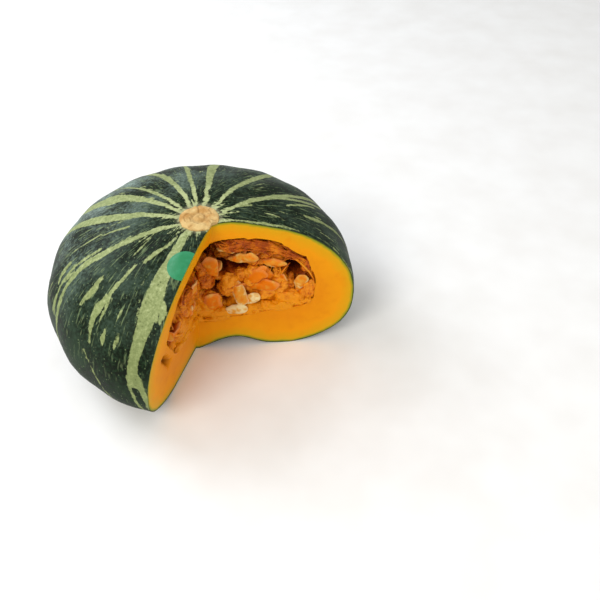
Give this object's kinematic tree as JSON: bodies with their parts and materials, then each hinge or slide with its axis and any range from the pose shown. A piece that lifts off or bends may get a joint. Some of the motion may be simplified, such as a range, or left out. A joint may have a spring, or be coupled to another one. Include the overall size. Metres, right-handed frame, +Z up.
{
  "type": "cut kabocha pumpkin",
  "caption": "Squat ribbed dark green pumpkin with pale stripes, a wedge cut out of it so that orange flesh, stringy pulp and seeds show, a corky stem button and a blank round label.",
  "frame": {"origin": "on the fruit's axis, on the surface that it rests on", "axes": "+Z up along the fruit's axis towards the stem button; the missing wedge opens between +X and -Y, and -Y is the front"},
  "size_m": [0.1993, 0.1977, 0.103],
  "materials": {
    "rind_and_flesh": "waxy dark green rind with pale stripes, moist orange flesh on the knife faces",
    "stem_cork": "dry tan cork",
    "label_film": "plain green satin film",
    "pulp_and_seeds": "wet orange strings with cream to tan seeds"
  },
  "bodies": {
    "root": {"fruit_wall": "rind_and_flesh", "stem_button": "stem_cork", "blank_label": "label_film", "seed_bunch_right": "pulp_and_seeds", "seed_bunch_back": "pulp_and_seeds", "seed_bunch_left": "pulp_and_seeds"}
  },
  "joints": []
}
